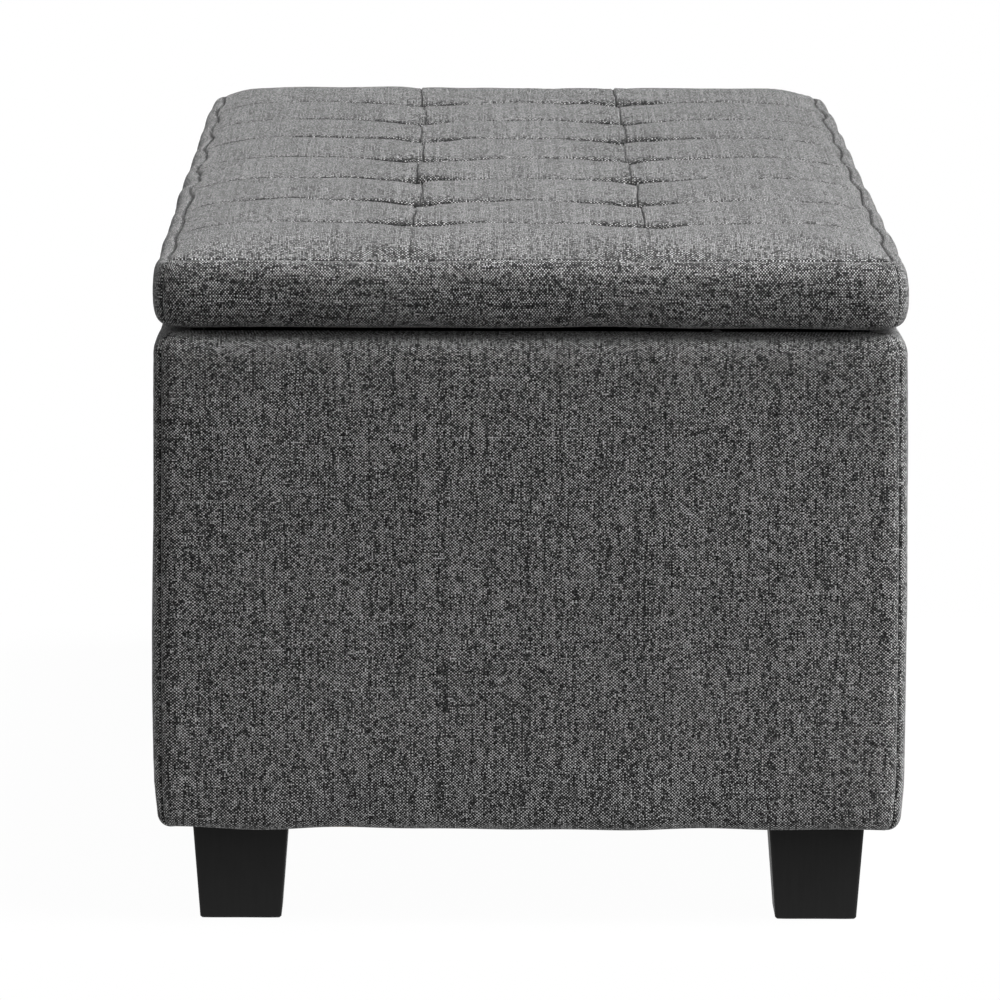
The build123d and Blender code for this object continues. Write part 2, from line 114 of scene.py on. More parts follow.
# ---- numbers -------------------------------------------------------------------------------------
def waves(seed, wavelength, count=7):
    """A smooth random function of (x, y), about -1 to 1, whose bumps are about wavelength apart."""
    rng = np.random.default_rng(seed)
    angle = rng.uniform(0, 2 * np.pi, count)
    rate = 2 * np.pi / wavelength * rng.uniform(0.6, 1.5, count)
    phase = rng.uniform(0, 2 * np.pi, count)

    def value(x, y=0.0):
        x, y = np.broadcast_arrays(np.asarray(x, float), np.asarray(y, float))
        along_x, along_y = rate * np.cos(angle), rate * np.sin(angle)
        turn = np.multiply.outer(x, along_x) + np.multiply.outer(y, along_y)
        return np.sin(turn + phase).sum(-1) / math.sqrt(count) * 0.9

    return value


def ripples(seed, wavelength, drift=0.8):
    """Uneven short waves along one direction, about -1 to 1."""
    slow = waves(seed, wavelength * 6)
    size = waves(seed + 1, wavelength * 4)

    def value(s):
        return np.sin(2 * np.pi * s / wavelength + drift * 2 * slow(s)) * (0.6 + 0.4 * size(s))

    return value


def bell(distance, width):
    return np.exp(-((distance / width) ** 2))


def smooth(t):
    t = np.clip(t, 0, 1)
    return t * t * (3 - 2 * t)


def spaced(low, high, step):
    """Evenly spaced values from low to high, about step apart."""
    return np.linspace(low, high, max(2, int(round((high - low) / step)) + 1))


# ---- meshes --------------------------------------------------------------------------------------
def grid_faces(rows, columns):
    """Quads of a grid whose points run row by row."""
    index = np.arange(rows * columns).reshape(rows, columns)
    corners = (index[:-1, :-1], index[:-1, 1:], index[1:, 1:], index[1:, :-1])
    return np.stack([c.ravel() for c in corners], 1)


def linked(name, data):
    """A new object in the scene."""
    item = bpy.data.objects.new(name, data)
    bpy.context.scene.collection.objects.link(item)
    return item


def mesh_piece(name, points, faces, uv, material, body, painted_seam_shade=None):
    """A smooth-shaded mesh that rides on a body. uv holds one (u, v) per face corner, and the last
    argument says how much painted shade darkens each point's colour in a seam, 0 to 1."""
    mesh = bpy.data.meshes.new(name)
    mesh.from_pydata(points.tolist(), [], faces.tolist())
    mesh.polygons.foreach_set("use_smooth", np.ones(len(faces), bool))
    layer = mesh.uv_layers.new(name="weave")
    layer.data.foreach_set("uv", np.asarray(uv, np.float32).ravel())
    # painted shade in the seams, which the linen darkens its colour by
    if painted_seam_shade is not None:
        shade = mesh.attributes.new("painted_seam_shade", "FLOAT", "POINT")
        shade.data.foreach_set("value", np.clip(painted_seam_shade, 0, 1).astype(np.float32).ravel())
    mesh.materials.append(material)
    mesh.validate()
    mesh.update()
    piece = linked(name, mesh)
    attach(piece, body)
    return piece


def grid_piece(name, points, uv, material, body, painted_seam_shade=None):
    """A piece from grids of points (rows, columns, 3) and weave coordinates (rows, columns, 2)."""
    rows, columns = points.shape[:2]
    faces = grid_faces(rows, columns)
    corner_uv = uv.reshape(-1, 2)[faces]
    return mesh_piece(name, points.reshape(-1, 3), faces, corner_uv, material, body, painted_seam_shade)


def bars_piece(name, places, size, material, body):
    """Many small bevelled bars as one piece. places holds (centre, along, up) and size the bar's
    length, width and height."""
    points, faces = [], []
    length, width, height = (d / 2 for d in size)
    bevel = min(width, height) * 0.6
    half_outline = [(width, height - bevel), (width - bevel, height)]
    half_outline += [(-w, h) for w, h in half_outline[::-1]]
    outline = half_outline + [(-w, -h) for w, h in half_outline]
    for centre, along, up in places:
        centre, along, up = Vector(centre), Vector(along).normalized(), Vector(up).normalized()
        across = along.cross(up)
        start = len(points)
        for reach in (-length, length):
            points += [centre + along * reach + across * w + up * h for w, h in outline]
        faces.append([start + k for k in range(8)])
        faces.append([start + 15 - k for k in range(8)])
        for k in range(8):
            j = (k + 1) % 8
            faces.append([start + k, start + 8 + k, start + 8 + j, start + j])
    mesh = bpy.data.meshes.new(name)
    mesh.from_pydata([tuple(p) for p in points], [], faces)
    mesh.materials.append(material)
    mesh.update()
    piece = linked(name, mesh)
    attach(piece, body)
    return piece


# ---- materials -----------------------------------------------------------------------------------
def grey(tone):
    return (tone, tone, tone)


class Finish:
    """A material with a Principled shader, and short ways to add nodes to it."""

    def __init__(self, name, roughness, **shader):
        self.material = bpy.data.materials.new(name)
        self.material.use_nodes = True
        self.tree = self.material.node_tree
        self.shader = self.tree.nodes["Principled BSDF"]
        self.shader.inputs["Roughness"].default_value = roughness
        for socket, value in shader.items():
            self.shader.inputs[socket.replace("_", " ")].default_value = value

    def node(self, kind, **settings):
        node = self.tree.nodes.new("ShaderNode" + kind)
        for key, value in settings.items():
            setattr(node, key, value)
        return node

    def put(self, socket, value):
        """Links a socket, or sets it to a number or a vector."""
        if isinstance(value, bpy.types.NodeSocket):
            self.tree.links.new(value, socket)
        else:
            socket.default_value = value

    def math(self, operation, *values):
        node = self.node("Math", operation=operation)
        for socket, value in zip(node.inputs, values):
            self.put(socket, value)
        return node.outputs[0]

    def times(self, value, factor):
        return self.math("MULTIPLY", value, factor)

    def centred(self, value):
        return self.math("SUBTRACT", value, 0.5)

    def point(self, x, y, z=0.0):
        node = self.node("CombineXYZ")
        for socket, value in zip(node.inputs, (x, y, z)):
            self.put(socket, value)
        return node.outputs[0]

    def split(self, vector):
        node = self.node("SeparateXYZ")
        self.put(node.inputs[0], vector)
        return node.outputs

    def noise(self, vector, scale, detail=2.0, roughness=0.5, dimensions="3D"):
        node = self.node("TexNoise", noise_dimensions=dimensions)
        self.put(node.inputs["Vector"], vector)
        self.put(node.inputs["Scale"], scale)
        self.put(node.inputs["Detail"], detail)
        self.put(node.inputs["Roughness"], roughness)
        return node.outputs["Fac"]

    def random(self, vector):
        node = self.node("TexWhiteNoise", noise_dimensions="2D")
        self.put(node.inputs["Vector"], vector)
        return node.outputs["Value"]

    def mix(self, share, low, high):
        """A number share of the way from low to high."""
        node = self.node("Mix", data_type="FLOAT")
        for socket, value in zip(node.inputs[:1] + node.inputs[2:4], (share, low, high)):
            self.put(socket, value)
        return node.outputs[0]

    def ramp(self, value, *stops):
        """A colour from (place, (r, g, b)) stops."""
        node = self.node("ValToRGB")
        self.put(node.inputs[0], value)
        elements = node.color_ramp.elements
        while len(elements) < len(stops):
            elements.new(1.0)
        for element, (place, colour) in zip(elements, stops):
            element.position = place
            element.color = (*colour, 1)
        return node.outputs[0]

    def weave(self):
        node = self.node("UVMap", uv_map="weave")
        return node.outputs[0]

    def place(self):
        return self.node("TexCoord").outputs["Object"]

    def stretched(self, *scales):
        """The object's x, y and z, each times a scale of its own, for grain that runs one way."""
        return self.point(*(self.times(d, k) for d, k in zip(self.split(self.place()), scales)))

    def colour(self, value):
        self.put(self.shader.inputs["Base Color"], value)

    def bump(self, height, distance, strength=1.0):
        node = self.node("Bump")
        node.inputs["Distance"].default_value = distance
        node.inputs["Strength"].default_value = strength
        self.put(node.inputs["Height"], height)
        self.put(self.shader.inputs["Normal"], node.outputs[0])

    def rough(self, value):
        self.put(self.shader.inputs["Roughness"], value)


# The linen's numbers. Scales are per metre, the rest are shares of its tone, which runs 0 to 1.
WARP_PITCH, WEFT_PITCH = 1.04 * MM, 0.92 * MM
FIBRE_SCALE, SLUB_SCALE, STREAK_SCALE, FUZZ_SCALE, CLOUD_SCALE = 400, 130, 42, 1800, 9
FIBRE, OWN_TONE, KNOT, FUZZ, CLOUD = 0.38, 0.14, 0.38, 0.8, 0.07
SLUB_START, SLUB = 0.58, 2.6
WARP_STREAK, WEFT_STREAK = 0.42, 0.3
WARP_LIGHTER = 0.2      # and the weft is as much darker
YARN_MEAN = 0.195       # brings a yarn's mean tone to about a half
CONTRAST, MEAN_TONE = 2.4, 0.52
# painted shade: tone kept on a yarn's crown and in the gaps between yarns, and the most that seams
# are darkened
YARN_TOP, YARN_GAP = 1.05, 0.13
SEAM_SHADE = 0.85
LINEN_TONES = ((0.0, 0.002), (0.25, 0.008), (0.5, 0.044), (0.75, 0.165), (1.0, 0.40))


def linen():
    """Grey melange plain weave: light warp, darker weft, each yarn uneven along its length."""
    f = Finish("linen", 0.9, Sheen_Weight=0.12, Sheen_Roughness=0.5, Specular_IOR_Level=0.15)
    uv = f.weave()
    u, v, _ = f.split(uv)

    def yarns(across, along, pitch, scale, reach):
        """The number of the yarn at each place, and how far across it that is, 0 to 1."""
        wander = f.centred(f.noise(f.point(across, along), scale, 2, dimensions="2D"))
        count = f.math("ADD", f.math("DIVIDE", across, pitch), f.times(wander, reach))
        return f.math("FLOOR", count), f.math("FRACT", count)

    def along_yarn(number, seed, length, scale, apart):
        """Noise along each yarn, the less like its neighbours' the larger apart is."""
        side = f.math("MULTIPLY_ADD", number, apart, seed)
        return f.noise(f.point(side, f.times(length, scale)), 1, 1)

    def yarn(number, length, seed, streak):
        """Tone of one yarn, from fibres that come and go along it, light slubs and slow streaks."""
        fine = along_yarn(number, seed, length, FIBRE_SCALE, 3.7)
        slub = along_yarn(number, seed, length, SLUB_SCALE, 5.3)
        slow = along_yarn(number, seed, length, STREAK_SCALE, 0.9)
        own = f.random(f.point(number, seed))
        light = f.math("MAXIMUM", f.math("SUBTRACT", slub, SLUB_START), 0.0)
        tone = f.math("MULTIPLY_ADD", light, SLUB, f.times(fine, FIBRE))
        tone = f.math("MULTIPLY_ADD", slow, streak, tone)
        tone = f.math("MULTIPLY_ADD", own, OWN_TONE, tone)
        return f.math("SUBTRACT", tone, 0.5 * streak - YARN_MEAN)

    warp, in_warp = yarns(u, v, WARP_PITCH, 55, 2.0)
    weft, in_weft = yarns(v, u, WEFT_PITCH, 40, 1.0)
    warp_tone = f.math("ADD", yarn(warp, v, 11.0, WARP_STREAK), WARP_LIGHTER)
    weft_tone = f.math("SUBTRACT", yarn(weft, u, 47.0, WEFT_STREAK), WARP_LIGHTER)
    over = f.math("PINGPONG", f.math("ADD", warp, weft), 1.0)
    tone = f.mix(over, warp_tone, weft_tone)
    knot = f.random(f.point(warp, weft))
    tone = f.math("ADD", tone, f.times(f.centred(knot), KNOT))
    round_warp, round_weft = (f.math("SINE", f.times(d, math.pi)) for d in (in_warp, in_weft))
    relief = f.math("POWER", f.times(round_warp, round_weft), 0.6)
    tone = f.math("MULTIPLY_ADD", f.centred(tone), CONTRAST, MEAN_TONE)
    fuzz = f.random(f.point(*(f.math("FLOOR", f.times(d, FUZZ_SCALE)) for d in (u, v))))
    tone = f.math("MULTIPLY_ADD", f.centred(fuzz), FUZZ, tone)
    # Painted shade between the yarns: the tone is full on each yarn's crown and darkened in the
    # gaps.
    lit = f.times(tone, f.math("MULTIPLY_ADD", relief, YARN_TOP, YARN_GAP))
    cloud = f.noise(uv, CLOUD_SCALE, 3, dimensions="2D")
    lit = f.math("ADD", lit, f.times(f.centred(cloud), CLOUD))
    # Painted shade: the colour is darkened by the seam shade that the pieces carry at their seams.
    seam = f.node("Attribute", attribute_name="painted_seam_shade")
    lit = f.times(lit, f.math("MULTIPLY_ADD", seam.outputs["Fac"], -SEAM_SHADE, 1.0))
    f.colour(f.ramp(lit, *((stop, grey(tone)) for stop, tone in LINEN_TONES)))
    f.bump(relief, 0.35 * MM, 0.5)
    return f.material


def nonwoven():
    """Black spun-bonded lining with its grid of heat-bonded dots."""
    f = Finish("black_nonwoven", 0.75, Specular_IOR_Level=0.3)
    place = f.place()
    x, y, z = f.split(place)
    pitch = 1.6 * MM
    waves_xy = (f.math("SINE", f.times(f.math("ADD", d, z), 2 * math.pi / pitch)) for d in (x, y))
    dots = f.times(*waves_xy)
    fibres = f.noise(place, 900, 3, 0.7)
    cloud = f.noise(place, 30, 3)
    tone = f.math("MULTIPLY_ADD", fibres, 0.5, f.times(cloud, 0.5))
    f.colour(f.ramp(tone, (0.3, (0.022, 0.022, 0.023)), (0.7, (0.070, 0.070, 0.073))))
    f.bump(f.math("MULTIPLY_ADD", dots, 0.4, fibres), 0.25 * MM, 0.6)
    return f.material


def lacquered_wood():
    """Satin black lacquer, the wood's grain just showing, duller in patches."""
    f = Finish("black_lacquer", 0.42, Specular_IOR_Level=0.2)
    grain = f.noise(f.stretched(420, 420, 26), 1, 4, 0.6)
    dust = f.noise(f.place(), 60, 4, 0.6)
    f.colour(f.ramp(grain, (0.3, grey(0.0035)), (0.75, grey(0.0055))))
    f.rough(f.mix(dust, 0.45, 0.62))
    f.bump(grain, 0.05 * MM, 0.15)
    return f.material


def board():
    """Raw chipboard: flakes of many browns."""
    f = Finish("chipboard", 0.8, Specular_IOR_Level=0.25)
    place = f.place()
    flakes = f.node("TexVoronoi", feature="F1")
    f.put(flakes.inputs["Vector"], place)
    f.put(flakes.inputs["Scale"], 260)
    tint = f.split(flakes.outputs["Color"])[0]
    fine = f.noise(place, 700, 3)
    tone = f.math("MULTIPLY_ADD", fine, 0.4, f.times(tint, 0.6))
    browns = (0.1, (0.23, 0.15, 0.08)), (0.5, (0.46, 0.33, 0.20)), (0.9, (0.66, 0.52, 0.34))
    f.colour(f.ramp(tone, *browns))
    f.bump(tone, 0.3 * MM, 0.5)
    return f.material


def pine():
    """Planed pine with long growth rings."""
    f = Finish("pine", 0.6, Specular_IOR_Level=0.3)
    rings = f.noise(f.stretched(130, 130, 5), 1, 3)
    yellows = (0.3, (0.62, 0.43, 0.23)), (0.6, (0.74, 0.57, 0.35)), (0.8, (0.50, 0.31, 0.15))
    f.colour(f.ramp(rings, *yellows))
    f.bump(rings, 0.2 * MM, 0.4)
    return f.material


def foam():
    """Cream polyurethane foam with open cells."""
    f = Finish("foam", 0.95, Specular_IOR_Level=0.1)
    cells = f.node("TexVoronoi", feature="F1")
    f.put(cells.inputs["Vector"], f.place())
    f.put(cells.inputs["Scale"], 1100)
    cell = cells.outputs["Distance"]
    # Painted shade: darker in each cell's hollow.
    f.colour(f.ramp(cell, (0.0, (0.50, 0.44, 0.28)), (0.6, (0.80, 0.75, 0.58))))
    f.bump(cell, 0.4 * MM, 0.7)
    return f.material


def metal(name, dark, light, metallic, roughness, grain):
    """Steel with a fine directional finish, scuffed here and there."""
    f = Finish(name, roughness, Metallic=metallic)
    lines = f.noise(f.stretched(grain, 900, 900), 1, 3)
    scuff = f.noise(f.place(), 110, 5, 0.65)
    tone = f.math("MULTIPLY_ADD", lines, 0.5, f.times(scuff, 0.5))
    f.colour(f.ramp(tone, (0.35, dark), (0.7, light)))
    f.rough(f.mix(scuff, roughness * 0.75, min(1.0, roughness * 1.35)))
    f.bump(tone, 0.05 * MM, 0.4)
    return f.material


def rubber():
    f = Finish("rubber", 0.8, Specular_IOR_Level=0.3)
    speckle = f.noise(f.place(), 1500, 3)
    f.colour(f.ramp(speckle, (0.3, grey(0.012)), (0.8, grey(0.035))))
    f.bump(speckle, 0.1 * MM, 0.5)
    return f.material


def twine():
    f = Finish("twine", 0.7, Specular_IOR_Level=0.2)
    x, y, z = f.split(f.place())
    ply = f.math("SINE", f.times(f.math("MULTIPLY_ADD", z, 1.5, f.math("ADD", x, y)), 2600))
    # Painted shade: darker in the grooves between the plies, lighter on their ridges.
    f.colour(f.ramp(ply, (0.0, grey(0.08)), (1.0, grey(0.22))))
    f.bump(ply, 0.2 * MM, 0.6)
    return f.material


LINEN = linen()
NONWOVEN = nonwoven()
BLACK_WOOD = lacquered_wood()
BOARD = board()
PINE = pine()
FOAM = foam()
BLACK_STEEL = metal("black_steel", grey(0.012), (0.035, 0.035, 0.036), 0.0, 0.5, 250)
ZINC = metal("zinc_steel", (0.46, 0.46, 0.47), (0.70, 0.70, 0.72), 1.0, 0.34, 120)
RUBBER = rubber()
TWINE = twine()
SLOT_FINISH = {
    "linen": LINEN, "foam": FOAM, "lining": NONWOVEN, "twine": TWINE, "board": BOARD,
    "softwood": PINE, "black_wood": BLACK_WOOD, "black_steel": BLACK_STEEL,
    "zinc_steel": ZINC, "rubber": RUBBER,
}


def finish_cad_nodes():
    """Each CAD node that stays gets the finish of its slot."""
    for entry in frame["record"]["subparts"]:
        node = frame["nodes"][entry["node"]]
        node.data.materials.clear()
        node.data.materials.append(SLOT_FINISH[entry["material_slot"]])


# ---- sides that wrap round the bench -------------------------------------------------------------
def side_columns(half_along, corner_r):
    """(place, turn, length along, distance to the nearer end) of the columns of one side.

    place runs from -1 to 1 over the straight stretch, and turn from -1 to 1 over each half corner.
    """
    quarter = corner_r * math.pi / 4
    from_seam = np.array([0.0, 0.5, 1.0, 1.6, 2.4, 3.4, 4.8, 6.4, 8.2, 10.0]) * MM
    from_seam = from_seam[from_seam < quarter]
    turn = 1 - from_seam / quarter
    straight = half_along - corner_r
    place = spaced(-1, 1, STEP / straight)
    places = np.concatenate([np.full(len(turn), -1.0), place, np.full(len(turn), 1.0)])
    turns = np.concatenate([-turn, np.zeros(len(place)), turn[::-1]])
    along = places * straight + turns * corner_r * math.pi / 4
    distance = quarter * (1 - np.abs(turns)) + straight * (1 - np.abs(places))
    return places, turns, along, distance


def wrap(side, half_along, half_out, corner_r, places, turns, offset, z):
    """Points (rows, columns, 3) of a side at an offset from the outline; negative is inwards."""
    radius = np.maximum(corner_r + offset, 0.0)
    angle = turns * math.pi / 4
    along = places * (half_along + offset - radius) + radius * np.sin(angle)
    out = half_out + offset - radius + radius * np.cos(angle)
    (ax, ay), (ox, oy) = SIDES[side]
    return np.stack([along * ax + out * ox, along * ay + out * oy, z + 0 * along], -1)


def half_sizes(side):
    return (HALF_X, HALF_Y) if side in ("front", "back") else (HALF_Y, HALF_X)


def arc(centre_offset, centre_z, radius, start, end, count):
    """(offset, z) points of an arc in a side's section; 0 degrees points outwards, 90 up."""
    angle = np.radians(np.linspace(start, end, count))
    return np.stack([centre_offset + radius * np.cos(angle), centre_z + radius * np.sin(angle)], 1)


def rounded(angle, depth, height, z, power):
    """(offset, z) points of a squarish quarter round that falls back by depth over height."""
    fullness = 2 / power
    across, risen = (np.maximum(d, 0) ** fullness for d in (np.cos(angle), np.sin(angle)))
    return np.stack([depth * (across - 1), z + height * risen], 1)


def line(start, end, step):
    """Points about step apart from start to end, as (offset, z)."""
    start, end = np.array(start, float), np.array(end, float)
    count = max(2, int(round(np.linalg.norm(end - start) / step)) + 1)
    return start + (end - start) * np.linspace(0, 1, count)[:, None]


def with_lengths(section):
    """The running length along a section of (offset, z) points."""
    steps = np.hypot(*np.diff(section, axis=0).T)
    return np.concatenate([[0.0], np.cumsum(steps)])


def close_ends(points, uv, dark, side):
    """One more column at each end, turned into the seam, with full painted shade."""
    (ax, ay), (ox, oy) = SIDES[side]
    for sign in (-1, 1):
        end = 0 if sign < 0 else points.shape[1]
        column = max(end - 1, 0)
        inward = -np.array([ox + sign * ax, oy + sign * ay, 0]) / math.sqrt(2)
        step = uv[:, column] - uv[:, column - sign]
        points = np.insert(points, end, points[:, column] + inward * SEAM_ALLOWANCE, 1)
        uv = np.insert(uv, end, uv[:, column] + step * 2, 1)
        dark = np.insert(dark, end, 1.0, 1)
    return points, uv, dark


def corner_groove(from_end, depth, width, ridge):
    """A sewn corner: a groove at the seam, and a low ridge over the seam allowance beside it."""
    return ridge * bell(from_end - SEAM_ALLOWANCE, 2.6 * MM) - depth * bell(from_end, width)


def weave_uv(seed, *coordinates):
    """(rows, columns, 2) weave coordinates, shifted so that no two pieces are alike."""
    shifted = [values + seed * share for values, share in coordinates]
    return np.stack(np.broadcast_arrays(*shifted), -1)


def box_cover(side, seed):
    """One sewn panel of the box: under the hem, up the side, over the rim and down inside."""
    half_along, half_out = half_sizes(side)
    hem_in, rim_in = -28 * MM, LINED_Y - HALF_Y
    low, top = BOX_LOW + 0.3 * MM, BOX_TOP - 0.2 * MM
    turn_r = 1.5 * MM
    section = np.concatenate([
        line((hem_in, low), (-BOX_HEM_R, low), 4 * MM)[:-1],
        arc(-BOX_HEM_R, low + BOX_HEM_R, BOX_HEM_R, -90, 0, 9),
        line((0, low + BOX_HEM_R), (0, top - BOX_RIM_R), STEP)[1:-1],
        arc(-BOX_RIM_R, top - BOX_RIM_R, BOX_RIM_R, 0, 90, 9),
        line((-BOX_RIM_R, top), (rim_in + turn_r, top), 2 * MM)[1:-1],
        arc(rim_in + turn_r, top - turn_r, turn_r, 90, 180, 5),
        line((rim_in, top - turn_r), (rim_in, LINING_TOP - 2 * MM), STEP)[1:],
    ])
    length = with_lengths(section)[:, None]
    across, z = section[:, :1], section[:, 1:2]
    places, turns, along, from_end = side_columns(half_along, BOX_CORNER_R)
    height = (z - low) / (top - low)
    outside = (across > -BOX_RIM_R * 1.01) * 1.0

    # The panel bellies out, most below its middle, and is pulled in by the staples under the box.
    belly = 2.2 * MM * np.sin(np.pi * np.clip(height, 0, 1)) ** 0.8 * (1.35 - 0.7 * height)
    sides_in = smooth(from_end / (60 * MM)) * 0.55 + 0.45
    uneven = waves(seed, 240 * MM)(along, z) * 0.8 * MM
    uneven = uneven + waves(seed + 1, 90 * MM)(along, z) * 0.25 * MM
    hem_pull = -1.6 * MM * (1 - smooth((z - low) / (30 * MM)))
    staple_pull = waves(seed + 2, 95 * MM)(along) * 1.3 * MM * (1 - smooth((z - low) / (45 * MM)))
    bow = belly * sides_in + uneven * smooth(from_end / (25 * MM)) + hem_pull + staple_pull
    groove = corner_groove(from_end, 1.2 * MM, 1.0 * MM, 0.4 * MM)
    pucker = ripples(seed + 3, 13 * MM)(z) * 0.28 * MM * np.exp(-from_end / (9 * MM))
    offset = across + bow * outside + (groove + pucker) * outside

    hem_wave = (0.8 + 0.8 * waves(seed + 4, 120 * MM)(along)) * MM
    sag = -hem_wave * (1 - smooth((z - low) / (25 * MM))) * smooth((across - hem_in) / (18 * MM))
    on_rim = smooth((z - top) / (18 * MM) + 1) * smooth((across - rim_in) / (10 * MM))
    sag = sag - RIM_DROP[side] * on_rim * smooth(from_end / RIM_DROP_RUN)
    points = wrap(side, half_along, half_out, BOX_CORNER_R, places, turns, offset, z + sag)
    uv = weave_uv(seed, (along[None, :], 0.37), (length, 0.61))
    # Painted shade in the grooves of the sewn corners.
    dark = 0.5 * bell(from_end, CORNER_SHADE_WIDTH) + 0 * z
    points, uv, dark = close_ends(points, uv, dark, side)
    piece = grid_piece(f"{side}_cover_sewn", points, uv, LINEN, "box", dark)
    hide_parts(f"{side}_cover", f"{side}_padding")


# ---- the lid's border seam -----------------------------------------------------------------------
ROW_EDGES = np.linspace(TOP_X, -TOP_X, ROWS + 1)
ROW_SHIFT = np.concatenate([[0], waves(5, 0.5)(np.arange(1, ROWS) * 0.37) * 2.5 * MM, [0]])
LONG_SEAMS = ROW_EDGES + ROW_SHIFT


def border_wave(side, along):
    """(outward shift, rise) of the border seam. On the long sides each strip leans its own way."""
    (ax, ay), _ = SIDES[side]
    seed = 60 + list(SIDES).index(side)
    if side in ("front", "back"):
        x = along * ax
        row = np.clip(np.searchsorted(-LONG_SEAMS, -x, "right") - 1, 0, ROWS - 1)
        share = (LONG_SEAMS[row] - x) / (LONG_SEAMS[row] - LONG_SEAMS[row + 1])
        lean = np.random.default_rng(seed).uniform(0.5, 1.5, ROWS + 1)
        lean = (lean[row] * (1 - share) + lean[row + 1] * share) * 1.3 * MM
        nearest = np.abs(x[..., None] - LONG_SEAMS[1:-1]).min(-1)
        out = lean * np.cos(2 * np.pi * share - 0.5)
        wobble = 0.7 * MM
    else:
        nearest = np.abs(along[..., None] * ay - np.array(SHORT_SEAMS)).min(-1)
        out = -0.5 * MM * bell(nearest, 14 * MM)
        wobble = 0.4 * MM
    half = TOP_X if side in ("front", "back") else TOP_Y
    to_corner = smooth((half - np.abs(along)) / (30 * MM))
    rise = 0.7 * MM * waves(seed + 9, 110 * MM)(along) - 0.5 * MM * bell(nearest, 14 * MM)
    return (out + wobble * waves(seed, 70 * MM)(along)) * to_corner, rise * to_corner


def seam_shade_dashes(seed, *place):
    """How dark the shade painted along the border seam is, uneven in dashes like its puckered
    stitches, by the place along the seam or by (x, y).
    """
    uneven = 0.2 * waves(seed + 1, 17 * MM)(*place)
    return 0.75 + 0.2 * ripples(seed, 11 * MM)(sum(place)) + uneven


def lid_band(side, seed):
    """One band of the lid: from the border seam, out, down, round the hem and under the lid."""
    half_along, half_out = half_sizes(side)
    seam_in = TOP_Y - HALF_Y
    low = LID_LOW + 0.2 * MM
    waist = SEAM_Z - 22 * MM
    angle = np.radians(np.concatenate([[90, 89, 87.5, 86, 84, 81], np.linspace(77, 0, 12)]))
    shoulder = rounded(angle, -seam_in, SEAM_Z - waist, waist, 2.5)
    angle = np.radians(np.linspace(0, 90, 14))[1:]
    hem = rounded(angle, LID_HEM_R, low - waist, waist, 3.0)
    under = line((-LID_HEM_R, low), (LID_LINING_Y - HALF_Y - 8 * MM, low), STEP)[1:]
    section = np.concatenate([shoulder, hem, under])
    length = with_lengths(section)[:, None]
    across, z = section[:, :1], section[:, 1:2]
    places, turns, along, from_end = side_columns(half_along, LID_CORNER_R)
    outside = (across > -LID_HEM_R * 1.01) * 1.0
    near_seam = np.exp(-np.maximum(SEAM_Z - z, 0) / (14 * MM))
    border_out, border_rise = border_wave(side, places * (half_along - LID_CORNER_R))

    belly = 1.3 * MM * np.sin(np.pi * np.clip(length / (45 * MM), 0, 1))
    uneven = waves(seed, 130 * MM)(along, z * 2) * 0.7 * MM * smooth(length / (12 * MM))
    uneven = uneven + waves(seed + 1, 45 * MM)(along, z * 2) * 0.22 * MM * smooth(length / (6 * MM))
    free = smooth(from_end / (20 * MM))
    groove = corner_groove(from_end, 0.8 * MM, 0.9 * MM, 0.3 * MM) * smooth(length / (4 * MM))
    pucker = ripples(seed + 3, 9 * MM)(along) * 0.35 * MM * bell(length - 3 * MM, 5 * MM)
    seam_side = ripples(seed + 4, 10 * MM)(z) * 0.25 * MM * np.exp(-from_end / (8 * MM))
    offset = across + border_out * near_seam + (belly + uneven) * free * outside
    offset = offset + (groove + seam_side + pucker) * outside
    hem_wave = (waves(seed + 5, 150 * MM)(along) - 0.4) * 0.6 * MM
    hem_wave = hem_wave * smooth((length - 20 * MM) / (20 * MM))
    lift = border_rise * near_seam + hem_wave * free * outside
    lift = lift - BORDER_TUCK * bell(length, BORDER_TUCK_WIDTH)
    points = wrap(side, half_along, half_out, LID_CORNER_R, places, turns, offset, z + lift)
    uv = weave_uv(seed, (-length, 0.61), (along[None, :], 0.37))
    # Painted shade in the grooves of the sewn corners and along the border seam.
    corner_seam_shade = 0.4 * bell(from_end, CORNER_SHADE_WIDTH) + 0 * length
    dark = np.maximum(seam_shade_dashes(seed + 6, along) * bell(length, BORDER_SHADE_WIDTH), corner_seam_shade)
    points, uv, dark = close_ends(points[::-1], uv[::-1], dark[::-1], side)
    piece = grid_piece(f"lid_{side}_band_sewn", points, uv, LINEN, "lid", dark)
    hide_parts(f"lid_{side}_band")


# ---- tufted top ----------------------------------------------------------------------------------
def tuft_layout():
    """Flat places (x, y) of the cloth's grid, whose lines follow the strips' seams."""
    x = np.interp(np.arange(ROWS * CELL_X + 1) / CELL_X, np.arange(ROWS + 1), LONG_SEAMS)
    edges = (-TOP_Y, *SHORT_SEAMS, TOP_Y)
    y = np.interp(np.arange(COLUMNS * CELL_Y + 1) / CELL_Y, np.arange(COLUMNS + 1), edges)
    x, y = np.meshgrid(x, y, indexing="ij")
    inside = smooth((TOP_X - np.abs(x)) / (60 * MM)) * smooth((TOP_Y - np.abs(y)) / (60 * MM))
    x = x + waves(71, 130 * MM)(x, y) * 1.6 * MM * inside
    return round_corners(x, y)


